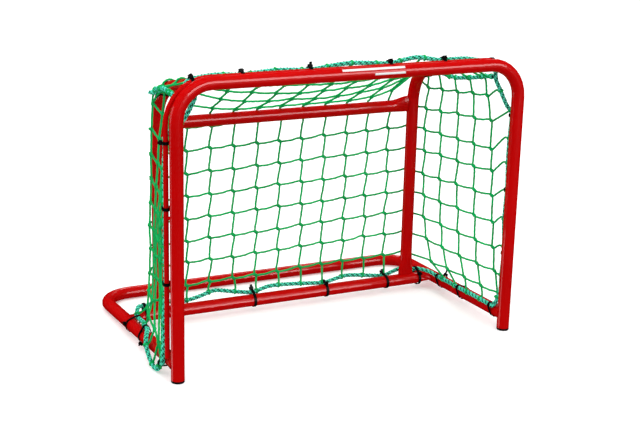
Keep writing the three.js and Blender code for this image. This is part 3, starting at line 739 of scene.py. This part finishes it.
def right_feet():
    for column in RIGHT[:-1]:
        foot = column[-1]
        right.hitch("border_rope", (foot[0], foot[1] - RIGHT_FOOT_FORWARD, RIGHT_FOOT_Z), foot + RIGHT_LEAN)


def left_feet():
    for k, column in enumerate(LEFT):
        foot = column[-1]
        if k in LOOP_DEPTHS:
            left.hitch("border_rope_free_loop", foot, foot - LEFT_LEAN, depth=LOOP_DEPTHS[k])
        else:
            left.hitch("border_rope", (foot[0] - LEFT_FOOT_OUT, foot[1], LEFT_FOOT_Z), foot - LEFT_LEAN)


def round_upright(net, panel, lean, side):
    """Rows that go round the outside of an upright, and the highest one, which goes over its bend."""
    corner, roof = (BACK[-1], TOP[-1]) if side > 0 else (BACK[0], TOP[0])
    for a, b in zip(corner, panel[0][1:]):
        arc = []
        for n, w in enumerate(np.radians(WRAP_ARC)):
            x = side * (UPRIGHT_X + WRAP_R * math.cos(w))
            z = a[2] + (b[2] - a[2]) * (n + 1) / WRAP_SHARE
            arc.append(np.array([x, UPRIGHT_Y + WRAP_R * math.sin(w), z]))
        if side > 0:
            net.strand(a, b, BACK_LEAN, lean, via=arc)
        else:
            net.strand(b, a, lean, BACK_LEAN, via=arc[::-1])
    bend = []
    for degrees, z in BEND_ARC:
        w = math.radians(degrees)
        x = side * (BEND_ARC_X + WRAP_R * math.sin(w))
        bend.append(np.array([x, BEND_ARC_Y + BEND_ARC_BULGE * math.cos(w), z]))
    if side > 0:
        net.strand(roof[0], panel[0][0], TOP_LEAN, lean, via=bend)
    else:
        net.strand(panel[0][0], roof[0], lean, TOP_LEAN, via=bend[::-1])


back_panel()
over_rear_bar()
top_panel()
over_leg(-1, TOP[0], "left_seam_rope")
over_leg(1, TOP[-1], "right_seam_rope")
side_panel(right, RIGHT, RIGHT_LEAN, RIGHT_ACROSS, 1, "right_seam_rope")
right_feet()
side_panel(left, LEFT, LEFT_LEAN, LEFT_ACROSS, -1, "left_seam_rope")
left_feet()
round_upright(right, RIGHT, RIGHT_LEAN, 1)
round_upright(left, LEFT, LEFT_LEAN, -1)

back.finish("net_back")
top.finish("net_top")
right.finish("net_right_side")
left.finish("net_left_side")

# ------------------------------------------------------------------ plain white print on the crossbar
PRINT_INSIDE, PRINT_OUTSIDE = 0.02, 0.14  # millimetres above the tube
PRINT_CUTS_ALONG, PRINT_CUTS_ROUND = 24, 8


def print_stripe(name, x0, x1, low, high):
    """A thin printed stripe on the front of the crossbar; `low` and `high` are degrees above the front."""
    there = [low + (high - low) * i / PRINT_CUTS_ROUND for i in range(PRINT_CUTS_ROUND + 1)]
    section = [(TUBE_R + PRINT_INSIDE, math.radians(w)) for w in there]
    section += [(TUBE_R + PRINT_OUTSIDE, math.radians(w)) for w in reversed(there)]
    stations = [x0 + (x1 - x0) * i / PRINT_CUTS_ALONG for i in range(PRINT_CUTS_ALONG + 1)]
    rows = [[at(x, -r * math.cos(w), CROSSBAR_Z + r * math.sin(w)) for r, w in section] for x in stations]
    soup = Soup()
    soup.rings(np.array(rows))
    piece = soup.build(name, [WHITE])
    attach(piece, "root")


print_stripe("print_long_stripe", x0=-40, x1=98, low=34, high=56)
print_stripe("print_short_stripe", x0=30, x1=98, low=-12, high=6)

# ------------------------------------------------------------------ ground, light
GROUND_HALF = 60.0
WORLD_BELOW, WORLD_ABOVE = 0.56, 1.15  # strength of the surroundings under and over the horizon
WORLD_BLEND = 0.3


def ground():
    """A pale floor that only the camera sees, so that it stays plain and colours nothing."""
    s = GROUND_HALF
    mesh = bpy.data.meshes.new("ground")
    mesh.from_pydata([(-s, -s, 0), (s, -s, 0), (s, s, 0), (-s, s, 0)], [], [(0, 1, 2, 3)])
    floor = Surface("pale_ground")
    tint = floor.noise(scale=3, detail=2)
    for target in ("Base Color", "Emission Color"):
        floor.drive(target, tint, grey(0.93), grey(0.95))
    floor.set("Roughness", 0.9)
    floor.set("Specular IOR Level", 0.0)
    floor.set("Emission Strength", 0.3)
    mesh.materials.append(floor.material)
    o = bpy.data.objects.new("ground", mesh)
    bpy.context.scene.collection.objects.link(o)
    o.visible_glossy = False
    o.visible_diffuse = False
    o.visible_shadow = False


def area(name, width, height, energy, place, look, glossy):
    """A rectangular light. One that is `glossy` is only there to be mirrored in the paint."""
    data = bpy.data.lights.new(name, "AREA")
    data.shape = "RECTANGLE"
    data.size = width
    data.size_y = height
    data.energy = energy
    o = bpy.data.objects.new(name, data)
    o.location = place
    o.rotation_euler = (Vector(look) - Vector(place)).to_track_quat("-Z", "Y").to_euler()
    o.visible_glossy = glossy
    o.visible_diffuse = not glossy
    bpy.context.scene.collection.objects.link(o)


def surroundings():
    """White surroundings, dimmer from below, that aren't mirrored in the paint."""
    world = bpy.data.worlds.new("studio")
    world.use_nodes = True
    nodes, links = world.node_tree.nodes, world.node_tree.links
    background = nodes["Background"]
    background.inputs["Color"].default_value = (1, 1, 1, 1)
    sky = nodes.new("ShaderNodeSeparateXYZ")
    links.new(nodes.new("ShaderNodeTexCoord").outputs["Generated"], sky.inputs["Vector"])
    height = nodes.new("ShaderNodeMapRange")
    links.new(sky.outputs["Z"], height.inputs["Value"])
    height.inputs["From Min"].default_value = -WORLD_BLEND
    height.inputs["From Max"].default_value = WORLD_BLEND
    height.inputs["To Min"].default_value = WORLD_BELOW
    height.inputs["To Max"].default_value = WORLD_ABOVE
    strength = nodes.new("ShaderNodeMix")
    links.new(nodes.new("ShaderNodeLightPath").outputs["Is Glossy Ray"], strength.inputs["Factor"])
    links.new(height.outputs["Result"], strength.inputs["A"])
    strength.inputs["B"].default_value = 0.0
    links.new(strength.outputs["Result"], background.inputs["Strength"])
    bpy.context.scene.world = world
    bpy.context.scene.view_settings.view_transform = "Standard"


ground()
area("overhead", 3.0, 2.4, energy=20, place=(-0.3, -0.6, 2.6), look=(0, 0, 0.3), glossy=False)
area("front_panel", 3.6, 2.0, energy=300, place=(1.3, -3.0, 1.3), look=(1.3, 0, 1.0), glossy=True)
area("rear_strip", 3.6, 0.3, energy=25, place=(1.3, 2.6, 2.2), look=(1.3, 0, 0.4), glossy=True)
area("side_strip", 0.4, 3.0, energy=15, place=(-2.5, 1.3, -0.5), look=(0, 0, 0.2), glossy=True)
surroundings()
